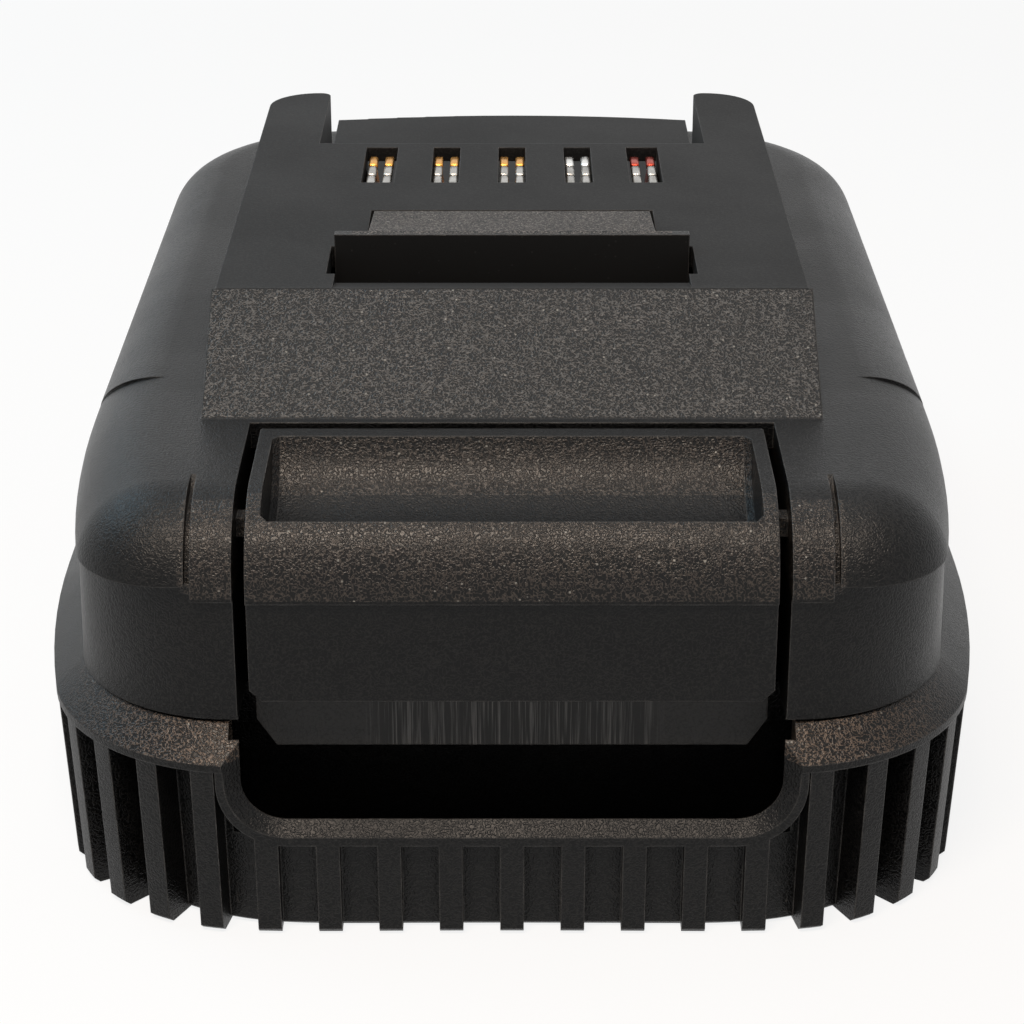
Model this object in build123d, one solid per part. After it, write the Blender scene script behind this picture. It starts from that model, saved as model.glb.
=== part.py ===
from build123d import *
import math
import os

# Sizes are in millimetres. X is across, Y runs from the release button to the rear, Z is up.
# The origin is the centre of the footprint on the resting face.

# Base shell, outside
flange_width = 84.8
flange_length = 120.5
flange_corner = 18.0
flange_rear_corner = 23.0
flange_lean = 12.0
flange_lean_radius = 118.0
flange_underside_z = 16.1
flange_edge_height = 0.7
flange_slope = 2.6
base_draft = 2.5
rib_setback = 0.1
rib_width = 2.0
rib_pitch = 5.14
rib_end_chamfer = 0.5
groove_depth = 1.3
groove_corner = 21.0
groove_foot_chamfer = 0.4

# Base shell, notch under the release button
notch_half_width = 22.6
notch_floor_z = 10.9
notch_corner = 3.8
notch_chamfer = 1.2
notch_rim = 2.0
notch_lip = 1.2
well_wall = 1.5

# Base shell, inside
base_floor = 2.0
base_wall = 1.8
lip_height = 1.8
lip_thickness = 1.0
lip_clearance = 0.3

# Receiver for the source pack, open at the bottom and the rear
receiver_half_width = 28.5
receiver_front_y = -42.0
receiver_roof_z = 13.9
receiver_wall = 2.0
receiver_roof = 2.2
rail_reach = 3.5
rail_bottom_z = 1.5
rail_height = 3.0
catch_half_width = 14.0
catch_front_y = 28.0
catch_length = 7.0
catch_depth = 2.8

# Upper shell
body_half_width = 38.8
body_front_y = -57.45
body_rear_y = 57.6
body_front_corner = 14.0
body_rear_corner = 20.0
body_lean = 8.0
body_lean_radius = 150.0
body_draft = 1.5
body_rounding = 6.6
shell_wall = 2.4
shoulder_z = 38.1
cavity_chamfer = 2.6
shadow_gap = 0.3
shadow_gap_depth = 0.5

# Crown: the prouder, rounder front block of the upper shell and the button's band
crown_half_width = 38.8
crown_front_y = -57.7
crown_corner = 8.4
crown_lean = 10.0
crown_rounding = 7.7
crown_bottom_z = 31.9
cheek_bottom_z = 30.6
cheek_half_width = 26.15
cheek_groove_width = 0.5
cheek_groove_depth = 1.1
cheek_groove_tail = 2.4
crown_end_y = -26.8

# Tool platform: ramp, deck, rails and rear shelf
deck_half_width = 26.75
deck_z = 45.8
deck_rear_y = 20.7
deck_wall = 2.1
ramp_foot_y = -36.8
ramp_top_y = -24.6
ramp_half_width = 27.1
rail_half_gap = 20.3
rail_rear_y = 40.3
rail_corner = 5.2
rail_lip = 3.4
rail_groove_depth = 3.5
shelf_z = 39.4
shelf_rear_y = 54.6
shelf_bulge = 1.9
shelf_rounding = 1.2
web_wall = 2.6

# Terminal slots
slot_pitch = 6.8
slot_count = 5
slot_front_y = 7.0
slot_rear_y = 19.2
slot_bridge = 1.5
inner_slot_width = 2.8
outer_slot_width = 3.3

# Release button and latch
button_gap = 1.05
button_half_width = 21.7
button_rear_y = -37.9
button_shelf = 1.2
button_shelf_drop = 0.4
button_foot_z = 21.4
button_foot_chamfer = 1.0
button_underside_z = 29.3
tongue_half_width = 21.5
tongue_front_y = -54.2
tongue_thickness = 2.0
tongue_foot_z = 15.5
tongue_bevel_width = 1.6
tongue_bevel_height = 2.5
scoop_half_width = 20.5
scoop_rear_y = -40.6
scoop_front_y = -54.7
scoop_sagitta = 4.5
scoop_end_chamfer = 0.6
latch_travel = 4.0
opening_clearance = 0.3
latch_face_y = -14.3
latch_half_width = 16.6
latch_top_z = 47.4
latch_lip = 1.1
cam_half_width = 13.45
cam_rear_y = -2.3
latch_slot_half_width = 17.0
latch_slot_front_y = -20.7
latch_wall = 2.0
latch_wing_depth = 8.8
bevel_half_width = 16.2
bevel_front_y = -24.6
bevel_drop = 0.9
plate_thickness = 2.4
plate_front_half_width = 19.4
plate_rear_half_width = 16.0
stake_radius = 1.2
stake_height = 2.0
stake_y = -45.0
stake_x = 13.0
fit_clearance = 0.05
guide_tab_y = -51.0
guide_tab_z = 34.65
guide_tab_size = 1.7
guide_tab_reach = 0.7
stop_rib_x = 7.0
stop_rib_y = -31.0

# Springs and guide posts
post_x = 12.0
post_y = -24.0
post_radius = 1.8
post_clearance = 0.1
post_height = 15.3
spring_radius = 2.8
spring_wire_radius = 0.4
spring_turns = 4
spring_wire_flats = 6

# Circuit board
board_half_width = 17.8
board_side_clearance = 0.6
board_front_y = 3.0
board_rear_y = 47.0
board_top_z = 35.4
board_thickness = 1.6
board_corner = 2.0
front_standoff_x = 15.0
front_standoff_y = 5.4
rear_standoff_x = 14.6
rear_standoff_y = 43.0
standoff_radius = 2.2
board_screw_radius = 1.1
board_screw_length = 4.2
board_screw_head_radius = 2.2
board_screw_head_height = 1.5

# Terminal clips and their carrier
clip_half_width = 1.05
clip_throat = 0.3
clip_sheet = 0.4
clip_front_y = 8.6
clip_length = 9.4
clip_top_z = 44.6
clip_throat_z = 42.3
finger_count = 3
finger_gap = 0.6
carrier_half_width = 17.4
carrier_margin = 0.9
carrier_height = 3.2

# Board components
mosfet_size = (6.6, 9.8, 2.3)
mosfet_x = 7.5
mosfet_y = 24.0
chip_size = (4.9, 6.0, 1.6)
chip_y = 33.5
capacitor_radius = 4.0
capacitor_length = 11.0
capacitor_x = 11.5
capacitor_y = 35.5
resistor_size = (2.0, 1.25, 0.6)
resistor_x = -10.0
resistor_y = 33.0
resistor_pitch = 2.6
resistor_count = 4

# Source terminal block, blades and leads
source_half_width = 17.0
source_length = 11.0
source_bottom_z = 5.5
source_seat = 0.1
blade_count = 4
blade_pitch = 7.6
blade_thickness = 0.8
blade_bottom_z = 7.1
blade_height = 5.0
blade_length = 21.0
blade_inset = 2.0
tail_length = 2.5
tail_top_z = 19.3
tail_clearance = 0.3
lead_radius = 1.1
lead_flats = 12
lead_z = 17.9
lead_side_x = 17.8

# Housing screws
boss_x = 32.6
boss_y = 42.0
boss_radius = 3.4
boss_join_z = 16.9
screw_radius = 1.4
screw_hole_radius = 1.7
screw_head_radius = 2.8
screw_head_height = 2.4
screw_recess_radius = 3.1
screw_recess_depth = 5.0
screw_reach = 9.0
screw_recess_wall = 1.3

# Values that follow from the sizes above
parting_z = flange_underside_z + flange_edge_height + flange_slope
flange_front_y = -flange_length / 2
cavity_front_y = body_front_y + shell_wall
cavity_front_corner = body_front_corner - shell_wall
cavity_roof_z = shoulder_z - shell_wall
deck_underside_z = deck_z - deck_wall
shelf_underside_z = shelf_z - shell_wall
channel_roof_z = receiver_roof_z + receiver_roof
button_opening = button_half_width + button_gap
plate_top_z = button_underside_z
plate_bottom_z = plate_top_z - plate_thickness
board_bottom_z = board_top_z - board_thickness
crown_axis_y = crown_front_y + crown_rounding
crown_axis_z = shoulder_z - crown_rounding


def block(x_low, x_high, y_low, y_high, z_low, z_high):
    centre = Pos((x_low + x_high) / 2, (y_low + y_high) / 2, (z_low + z_high) / 2)
    return centre * Box(x_high - x_low, y_high - y_low, z_high - z_low)


def middle_block(half_width, y_low, y_high, z_low, z_high):
    return block(-half_width, half_width, y_low, y_high, z_low, z_high)


def both_sides(shape):
    return shape + mirror(shape, about=Plane.YZ)


def plan_outline(half_width, y_front, y_rear, front_corner, rear_corner):
    corners = [(-half_width, y_front), (half_width, y_front), (half_width, y_rear), (-half_width, y_rear)]
    plate = make_face(Polyline(*corners, close=True))
    plate = fillet(plate.vertices().sort_by(Axis.Y)[:2], front_corner)
    return fillet(plate.vertices().sort_by(Axis.Y)[-2:], rear_corner)


def leaning_outline(half_width, y_front, y_rear, front_corner, rear_corner, lean, lean_radius):
    # The sides lean in over a wide arc that ends where the front corner begins.
    angle = math.radians(lean)
    corner_reach = front_corner * math.tan(math.radians(45) - angle / 2)
    side_length = corner_reach + lean_radius * math.tan(angle / 2) + 0.2
    lean_y = y_front + side_length * math.cos(angle)
    front_x = half_width - side_length * math.sin(angle)
    right = [(front_x, y_front), (half_width, lean_y), (half_width, y_rear)]
    left = [(-x, y) for x, y in reversed(right)]
    return right + left, [front_corner, lean_radius, rear_corner, rear_corner, lean_radius, front_corner]


def leaning_plate(*sizes):
    corners, radii = leaning_outline(*sizes)
    return make_face(FilletPolyline(*corners, radius=radii, close=True).edges())


def upright(outline, z_low, z_high, taper=0):
    return extrude(Pos(0, 0, z_low) * outline, amount=z_high - z_low, taper=taper)


def hanging(outline, z_high, z_low, taper=0):
    return extrude(Pos(0, 0, z_high) * outline, amount=z_high - z_low, dir=(0, 0, -1), taper=taper)


def side_prism(outline, half_width):
    return extrude(Plane.YZ * outline, amount=half_width, both=True)


def side_polygon(*points):
    return make_face(Polyline(*points, close=True))


def rod(x, y, radius, z_low, z_high):
    return Pos(x, y, (z_low + z_high) / 2) * Cylinder(radius, z_high - z_low)


def flange_outline(inset, corner):
    half_width = flange_width / 2 - inset
    half_length = flange_length / 2 - inset
    rear_corner = flange_rear_corner - flange_corner + corner
    return half_width, -half_length, half_length, corner, rear_corner, flange_lean, flange_lean_radius


def rib_slabs():
    # One slab stands square to the outline at each step of the walk round it, the first at the front.
    sizes = flange_outline(rib_setback, flange_corner - rib_setback)
    corners, radii = leaning_outline(*sizes)
    right_side = FilletPolyline((0, sizes[1]), *corners[:3], (0, sizes[2]), radius=radii[:3])
    steps = round(right_side.length / rib_pitch)
    depth = groove_depth + (groove_corner - flange_corner)
    slabs = Sketch()
    for step in range(steps + 1):
        share = step / steps
        spot = right_side.position_at(share)
        along = right_side.tangent_at(share)
        slabs += Plane(origin=spot, x_dir=along, z_dir=(0, 0, 1)) * Rectangle(rib_width, 2 * depth)
    slabs += mirror(slabs, about=Plane.YZ)
    return extrude(slabs, amount=flange_underside_z)


def notch_outline(margin, corner, top_z):
    half_width = notch_half_width + margin
    floor = notch_floor_z - margin
    corners = [(-half_width, floor), (half_width, floor), (half_width, top_z), (-half_width, top_z)]
    outline = make_face(Polyline(*corners, close=True))
    return fillet(outline.vertices().sort_by(Axis.Y)[:2], corner)


def notch_cut():
    # The rim's chamfer follows the drafted wall, so its tool starts a little outside the flange.
    start_y = flange_front_y - 1.0
    lean = math.tan(math.radians(base_draft)) * (flange_underside_z - notch_floor_z)
    wall_y = flange_front_y + rib_setback + lean
    reach = notch_chamfer + (wall_y - start_y)
    plane = Plane(origin=(0, start_y, 0), x_dir=(1, 0, 0), z_dir=(0, -1, 0))
    top_z = parting_z + 2 * reach
    passage = extrude(plane * notch_outline(0, notch_corner, top_z), amount=-well_depth())
    mouth = plane * notch_outline(reach, notch_corner + reach, top_z + reach)
    funnel = extrude(mouth, amount=reach, dir=(0, 1, 0), taper=45)
    return passage + funnel


def well_depth():
    return receiver_front_y - receiver_wall - flange_front_y - 2.0


def base_shell():
    rib_outline = flange_outline(rib_setback, flange_corner - rib_setback)
    envelope = hanging(leaning_plate(*rib_outline), flange_underside_z, 0, base_draft)
    envelope = chamfer(envelope.edges().group_by(Axis.Z)[0], rib_end_chamfer)
    core_inset = rib_setback + groove_depth
    core_outline = flange_outline(core_inset, groove_corner)
    core = hanging(leaning_plate(*core_outline), flange_underside_z, 0, base_draft)
    core = chamfer(core.edges().group_by(Axis.Z)[0], groove_foot_chamfer)
    rim_plane = Plane(origin=(0, flange_front_y, 0), x_dir=(1, 0, 0), z_dir=(0, -1, 0))
    rim_face = notch_outline(notch_rim, notch_corner + notch_rim, flange_underside_z)
    rim = extrude(rim_plane * rim_face, amount=-3.0) & envelope
    skirt = core + (rib_slabs() & envelope) + rim

    flange = upright(leaning_plate(*flange_outline(0, flange_corner)), flange_underside_z, parting_z)
    flange = chamfer(flange.edges().group_by(Axis.Z)[-1], flange_slope)
    shell = skirt + flange

    inside = cavity_outline(0)
    wall_outline = flange_outline(core_inset + base_wall, groove_corner - base_wall)
    lower_space = hanging(leaning_plate(*wall_outline), flange_underside_z, base_floor, base_draft)
    shell -= lower_space & upright(inside, base_floor, flange_underside_z)
    shell -= upright(inside, flange_underside_z, parting_z)
    shell += alignment_lip()
    shell += base_bosses(inside)
    shell += receiver_block() & (upright(inside, 0, catch_top_z()) + core)
    shell -= front_well()
    shell -= receiver_space()
    shell += receiver_rails() & core
    shell -= screw_passages()
    shell -= tail_slots()
    shell -= notch_cut()
    return shell + guide_posts()


def alignment_lip():
    ring = None
    for outer, z_low, z_high in [(0.0, parting_z - 2.4, parting_z),
                                 (lip_clearance, parting_z, parting_z + lip_height)]:
        inner = lip_clearance + lip_thickness
        band = upright(cavity_outline(outer), z_low, z_high)
        band -= upright(cavity_outline(inner), z_low, z_high)
        ring = band if ring is None else ring + band
    open_half_width = button_opening + shell_wall + lip_clearance
    corner_end_y = cavity_front_y + cavity_front_corner
    ring -= middle_block(open_half_width, flange_front_y, corner_end_y, 0, shoulder_z)
    for side in (-1, 1):
        for end in (-1, 1):
            radius = boss_radius + lip_clearance
            ring -= rod(side * boss_x, end * boss_y, radius, boss_join_z, parting_z + lip_height)
    return ring


def cavity_outline(inset):
    return body_outline(shell_wall + inset)


def catch_top_z():
    return receiver_roof_z + catch_depth + receiver_wall


def receiver_block():
    half_width = receiver_half_width + receiver_wall
    front_y = receiver_front_y - receiver_wall
    body = middle_block(half_width, front_y, flange_length / 2, 0, channel_roof_z)
    catch = middle_block(
        catch_half_width + receiver_wall,
        catch_front_y - receiver_wall,
        catch_front_y + catch_length + receiver_wall,
        receiver_roof_z,
        catch_top_z(),
    )
    return body + catch


def receiver_space():
    space = middle_block(receiver_half_width, receiver_front_y, flange_length / 2 + 1, -1, receiver_roof_z)
    catch = middle_block(
        catch_half_width,
        catch_front_y,
        catch_front_y + catch_length,
        receiver_roof_z - 1,
        receiver_roof_z + catch_depth,
    )
    return space + catch


def receiver_rails():
    rail = block(
        receiver_half_width - rail_reach,
        receiver_half_width + 1,
        receiver_front_y + source_length + 2,
        flange_length / 2,
        rail_bottom_z,
        rail_bottom_z + rail_height,
    )
    return both_sides(rail)


def front_well():
    # The wall behind the notch is thin at the lip and steps back where the grooves cut into it.
    lip_y = flange_front_y + rib_setback + notch_lip + 0.35
    wall_y = lip_y + well_wall - 0.3
    step_z = notch_floor_z - notch_rim + 0.2
    half_width = notch_half_width + 0.9
    upper = middle_block(half_width, lip_y, cavity_front_y + 1, step_z, parting_z + 1)
    lower = middle_block(half_width, wall_y, cavity_front_y + 1, base_floor, step_z)
    return upper + lower


def base_bosses(inside):
    posts = Part()
    for side in (-1, 1):
        for end in (-1, 1):
            posts += rod(side * boss_x, end * boss_y, boss_radius, 0, boss_join_z)
            foot_radius = screw_recess_radius + screw_recess_wall
            posts += rod(side * boss_x, end * boss_y, foot_radius, 0, screw_recess_depth + 1.5)
    return posts & upright(inside, 0, parting_z)


def screw_passages():
    holes = Part()
    for side in (-1, 1):
        for end in (-1, 1):
            holes += rod(side * boss_x, end * boss_y, screw_hole_radius, -1, boss_join_z + 1)
            holes += rod(side * boss_x, end * boss_y, screw_recess_radius, -1, screw_recess_depth)
    return holes


def blade_places():
    return [(step - (blade_count - 1) / 2) * blade_pitch for step in range(blade_count)]


def tail_slots():
    half_width = blade_thickness / 2 + tail_clearance
    front_y = receiver_front_y + blade_inset - tail_clearance
    rear_y = receiver_front_y + blade_inset + tail_length + tail_clearance
    low_z = receiver_roof_z - 1
    high_z = channel_roof_z + 1
    slots = Part()
    for x in blade_places():
        slots += block(x - half_width, x + half_width, front_y, rear_y, low_z, high_z)
    return slots


def guide_posts():
    post = rod(post_x, post_y, post_radius, channel_roof_z, channel_roof_z + post_height)
    post = chamfer(post.edges().group_by(Axis.Z)[-1], 0.5)
    return both_sides(post)


def crown_zone():
    # The crown ends behind in a slant and below in a level face.
    slope = shoulder_z - crown_bottom_z
    outline = side_polygon(
        (crown_front_y - 1, crown_bottom_z),
        (crown_end_y + slope, crown_bottom_z),
        (crown_end_y, shoulder_z),
        (crown_end_y, shoulder_z + 1),
        (crown_front_y - 1, shoulder_z + 1),
    )
    cheek_top_z = shoulder_z + 1
    cheeks = middle_block(cheek_half_width, crown_front_y - 1, crown_axis_y, cheek_bottom_z, cheek_top_z)
    return side_prism(outline, crown_half_width + 1) + cheeks


def crown():
    outline = leaning_plate(
        crown_half_width,
        crown_front_y,
        0,
        crown_corner,
        1.0,
        crown_lean,
        body_lean_radius,
    )
    body = upright(outline, parting_z, shoulder_z)
    rim = body.edges().group_by(Axis.Z)[-1].filter_by(lambda edge: edge.center().Y < -0.5)
    body = fillet(rim, crown_rounding)
    return (body & crown_zone()) - cheek_grooves()


def crown_arc_face(depth):
    # The band between the crown's rounding and a parallel curve below it, run out to nothing behind.
    outer = crown_rounding + 1
    inner = crown_rounding - depth
    half = math.sqrt(0.5)
    low = cheek_bottom_z - crown_axis_z - 1
    centre = (crown_axis_y, crown_axis_z)
    top_out = (centre[0], centre[1] + outer)
    top_in = (centre[0], centre[1] + inner)
    mid_out = (centre[0] - outer * half, centre[1] + outer * half)
    mid_in = (centre[0] - inner * half, centre[1] + inner * half)
    side_out = (centre[0] - outer, centre[1])
    side_in = (centre[0] - inner, centre[1])
    foot_out = (side_out[0], centre[1] + low)
    foot_in = (side_in[0], centre[1] + low)
    tail = (crown_axis_y + cheek_groove_tail, top_out[1])
    edges = [
        ThreePointArc(top_out, mid_out, side_out),
        Line(side_out, foot_out),
        Line(foot_out, foot_in),
        Line(foot_in, side_in),
        ThreePointArc(side_in, mid_in, top_in),
        Line(top_in, tail),
        Line(tail, top_out),
    ]
    return make_face(edges)


def cheek_grooves():
    side_plane = Plane(origin=(cheek_half_width, 0, 0), x_dir=(0, 1, 0), z_dir=(1, 0, 0))
    band = side_plane * crown_arc_face(cheek_groove_depth)
    return both_sides(extrude(band, amount=cheek_groove_width))


def body_outline(inset):
    return leaning_plate(
        body_half_width - inset,
        body_front_y + inset,
        body_rear_y - inset,
        body_front_corner - inset,
        body_rear_corner - inset,
        body_lean,
        body_lean_radius,
    )


def upper_body():
    lean = math.tan(math.radians(body_draft)) * (shoulder_z - parting_z)
    body = hanging(body_outline(lean), shoulder_z, parting_z, -body_draft)
    body = fillet(body.edges().group_by(Axis.Z)[-1], body_rounding)
    return (body - crown_zone()) + crown()


def platform():
    ramp = side_polygon(
        (ramp_foot_y, shoulder_z),
        (ramp_top_y, deck_z),
        (ramp_top_y, cavity_roof_z),
        (ramp_foot_y, cavity_roof_z),
    )
    deck = middle_block(deck_half_width, ramp_top_y, deck_rear_y, cavity_roof_z, deck_z)
    rails = rail_bars()
    shelf = upright(shelf_outline(), cavity_roof_z, shelf_z)
    rear_edge = shelf.edges().group_by(Axis.Z)[-1].sort_by(Axis.Y)[-1]
    shelf = fillet(rear_edge, shelf_rounding)
    groove = block(
        deck_half_width - rail_groove_depth,
        deck_half_width + 1,
        ramp_top_y,
        rail_rear_y + 1,
        shoulder_z,
        deck_z - rail_lip,
    )
    return side_prism(ramp, ramp_half_width) + deck + rails + shelf - both_sides(groove)


def rail_bars():
    corners = [
        (rail_half_gap, deck_rear_y - 1),
        (deck_half_width, deck_rear_y - 1),
        (deck_half_width, rail_rear_y),
        (rail_half_gap, rail_rear_y),
    ]
    outline = make_face(Polyline(*corners, close=True))
    rear = outline.vertices().sort_by(Axis.Y)[-2:].sort_by(Axis.X)
    outline = fillet(rear[-1], rail_corner)
    inner = outline.vertices().filter_by(lambda spot: spot.Y > rail_rear_y - 0.1).sort_by(Axis.X)
    outline = fillet(inner[0], 1.2)
    return both_sides(upright(outline, cavity_roof_z, deck_z))


def shelf_outline():
    side_y = shelf_rear_y - shelf_bulge
    edges = [
        Line((-rail_half_gap, side_y), (-rail_half_gap, deck_rear_y - 1)),
        Line((-rail_half_gap, deck_rear_y - 1), (rail_half_gap, deck_rear_y - 1)),
        Line((rail_half_gap, deck_rear_y - 1), (rail_half_gap, side_y)),
        ThreePointArc((rail_half_gap, side_y), (0, shelf_rear_y), (-rail_half_gap, side_y)),
    ]
    return make_face(edges)


def upper_cavity():
    main = upright(cavity_outline(0), parting_z - 1, cavity_roof_z)
    main = chamfer(main.edges().group_by(Axis.Z)[-1], cavity_chamfer)
    slope = math.atan2(deck_z - shoulder_z, ramp_top_y - ramp_foot_y)
    shift = deck_wall / math.sin(slope)
    top_y = ramp_top_y + shift - (deck_z - deck_underside_z) / math.tan(slope)
    foot_y = top_y - (deck_underside_z - cavity_roof_z) / math.tan(slope)
    under_deck = side_polygon(
        (foot_y, cavity_roof_z - 1),
        (foot_y, cavity_roof_z),
        (top_y, deck_underside_z),
        (deck_rear_y - deck_wall, deck_underside_z),
        (deck_rear_y - deck_wall, cavity_roof_z - 1),
    )
    web_half_width = deck_half_width - rail_groove_depth - web_wall
    under_shelf = middle_block(
        board_half_width + board_side_clearance,
        deck_rear_y - deck_wall - 1,
        board_rear_y + 2,
        cavity_roof_z - 1,
        shelf_underside_z,
    )
    return main + side_prism(under_deck, web_half_width) + under_shelf


def slot_places():
    return [(step - (slot_count - 1) / 2) * slot_pitch for step in range(slot_count)]


def slot_width(place):
    return outer_slot_width if abs(place) > 1.5 * slot_pitch else inner_slot_width


def terminal_slots():
    slots = Part()
    for x in slot_places():
        half = slot_width(x) / 2
        slots += block(x - half, x + half, slot_front_y, slot_rear_y, shelf_z, deck_z + 1)
        slots += block(x - half, x + half, slot_front_y, deck_rear_y + 1, shelf_z, deck_z - slot_bridge)
    return slots


def latch_openings():
    wide = middle_block(
        latch_slot_half_width,
        latch_slot_front_y,
        latch_face_y + latch_lip + opening_clearance,
        deck_underside_z - 1,
        deck_z + 1,
    )
    narrow = middle_block(
        cam_half_width + opening_clearance,
        latch_face_y,
        cam_rear_y + opening_clearance,
        deck_underside_z - 1,
        deck_z + 1,
    )
    bevel = side_polygon(
        (bevel_front_y, deck_z),
        (latch_slot_front_y + 0.1, deck_z - bevel_drop),
        (latch_slot_front_y + 0.1, deck_z + 1),
        (bevel_front_y, deck_z + 1),
    )
    return wide + narrow + side_prism(bevel, bevel_half_width)


def button_well(outer):
    wall = block(
        button_opening,
        button_opening + shell_wall - 0.2,
        crown_front_y,
        button_rear_y + opening_clearance + shell_wall,
        parting_z,
        shoulder_z,
    )
    return both_sides(wall) & outer


def guide_tabs():
    tab = block(
        button_opening - guide_tab_reach,
        button_opening + 0.5,
        guide_tab_y - guide_tab_size / 2,
        guide_tab_y + guide_tab_size / 2,
        guide_tab_z - guide_tab_size / 2,
        guide_tab_z + guide_tab_size / 2,
    )
    return both_sides(tab)


def upper_bosses():
    bosses = Part()
    for side in (-1, 1):
        for end in (-1, 1):
            bosses += rod(side * boss_x, end * boss_y, boss_radius, boss_join_z, shoulder_z)
    return bosses


def upper_inner_ribs():
    stop = block(
        stop_rib_x,
        stop_rib_x + 2,
        stop_rib_y - 3,
        stop_rib_y + 3,
        plate_top_z + opening_clearance,
        shoulder_z + 1,
    )
    front_top_z = deck_underside_z + 0.5
    rear_top_z = shelf_underside_z + 0.5
    front = rod(front_standoff_x, front_standoff_y, standoff_radius, board_top_z, front_top_z)
    rear = rod(rear_standoff_x, rear_standoff_y, standoff_radius, board_top_z, rear_top_z)
    return both_sides(stop + front + rear)


def board_screw_places():
    places = []
    for side in (-1, 1):
        places.append((side * front_standoff_x, front_standoff_y))
        places.append((side * rear_standoff_x, rear_standoff_y))
    return places


def upper_shell():
    outer = upper_body() + platform()
    shell = outer - upper_cavity()
    shell += upper_bosses() & outer
    shell += upper_inner_ribs()
    opening_rear_y = button_rear_y + opening_clearance
    shell -= middle_block(button_opening, crown_front_y - 1, opening_rear_y, parting_z - 1, shoulder_z + 1)
    shell += button_well(outer)
    shell += guide_tabs()
    shell -= terminal_slots()
    shell -= latch_openings()
    for x, y in board_screw_places():
        pilot = board_screw_radius + fit_clearance
        shell -= rod(x, y, pilot, board_top_z - 1, board_bottom_z + board_screw_length + 0.2)
    for side in (-1, 1):
        for end in (-1, 1):
            tip_z = boss_join_z + screw_reach + 0.5
            shell -= rod(side * boss_x, end * boss_y, screw_radius + fit_clearance, boss_join_z - 1, tip_z)
    shadow = upright(body_outline(-0.5), parting_z - 1, parting_z + shadow_gap)
    shadow -= upright(body_outline(shadow_gap_depth), parting_z - 1, parting_z + shadow_gap)
    return shell - shadow


def scoop():
    # The finger recess is a round-bottomed trough between two points of the button's skin.
    rear = (scoop_rear_y, shoulder_z)
    drop = math.sqrt(crown_rounding ** 2 - (scoop_front_y - crown_axis_y) ** 2)
    front = (scoop_front_y, crown_axis_z + drop)
    chord = math.dist(rear, front)
    radius = chord ** 2 / (8 * scoop_sagitta) + scoop_sagitta / 2
    middle = ((rear[0] + front[0]) / 2, (rear[1] + front[1]) / 2)
    normal = ((front[1] - rear[1]) / chord, (rear[0] - front[0]) / chord)
    rise = radius - scoop_sagitta
    centre_y = middle[0] + normal[0] * rise
    centre_z = middle[1] + normal[1] * rise
    trough = Pos(0, centre_y, centre_z) * Rot(0, 90, 0) * Cylinder(radius, 2 * scoop_half_width)
    return chamfer(trough.edges().filter_by(GeomType.CIRCLE), scoop_end_chamfer)


def tongue():
    right = [
        (tongue_half_width, button_underside_z),
        (tongue_half_width, tongue_foot_z + tongue_bevel_height),
        (tongue_half_width - tongue_bevel_width, tongue_foot_z),
    ]
    left = [(-x, z) for x, z in reversed(right)]
    plane = Plane(origin=(0, tongue_front_y, 0), x_dir=(1, 0, 0), z_dir=(0, -1, 0))
    return extrude(plane * side_polygon(*right, *left), amount=-tongue_thickness)


def release_button():
    half = math.sqrt(0.5)
    lip_back = 0.5
    skin = [
        Line((button_rear_y, button_underside_z), (button_rear_y, shoulder_z - button_shelf_drop)),
        Line((button_rear_y, shoulder_z - button_shelf_drop),
             (button_rear_y - button_shelf, shoulder_z - button_shelf_drop)),
        Line((button_rear_y - button_shelf, shoulder_z - button_shelf_drop),
             (button_rear_y - button_shelf, shoulder_z)),
        Line((button_rear_y - button_shelf, shoulder_z), (crown_axis_y, shoulder_z)),
        ThreePointArc(
            (crown_axis_y, shoulder_z),
            (crown_axis_y - crown_rounding * half, crown_axis_z + crown_rounding * half),
            (crown_front_y, crown_axis_z),
        ),
        Line((crown_front_y, crown_axis_z), (crown_front_y + lip_back, cheek_bottom_z - 0.2)),
        Line((crown_front_y + lip_back, cheek_bottom_z - 0.2), (body_front_y, button_foot_z)),
        Line((body_front_y, button_foot_z), (tongue_front_y, button_foot_z)),
        Line((tongue_front_y, button_foot_z), (tongue_front_y, button_underside_z)),
        Line((tongue_front_y, button_underside_z), (button_rear_y, button_underside_z)),
    ]
    cap = side_prism(make_face(skin), button_half_width)
    feet = cap.edges().filter_by(Axis.Y).group_by(Axis.Z)[0].sort_by(Axis.X)
    cap = chamfer([feet[0], feet[-1]], button_foot_chamfer)
    button = cap + tongue() - scoop()
    stake_hole = rod(
        stake_x,
        stake_y,
        stake_radius + fit_clearance,
        button_underside_z - 1,
        button_underside_z + stake_height + fit_clearance,
    )
    return button - both_sides(stake_hole)


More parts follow.
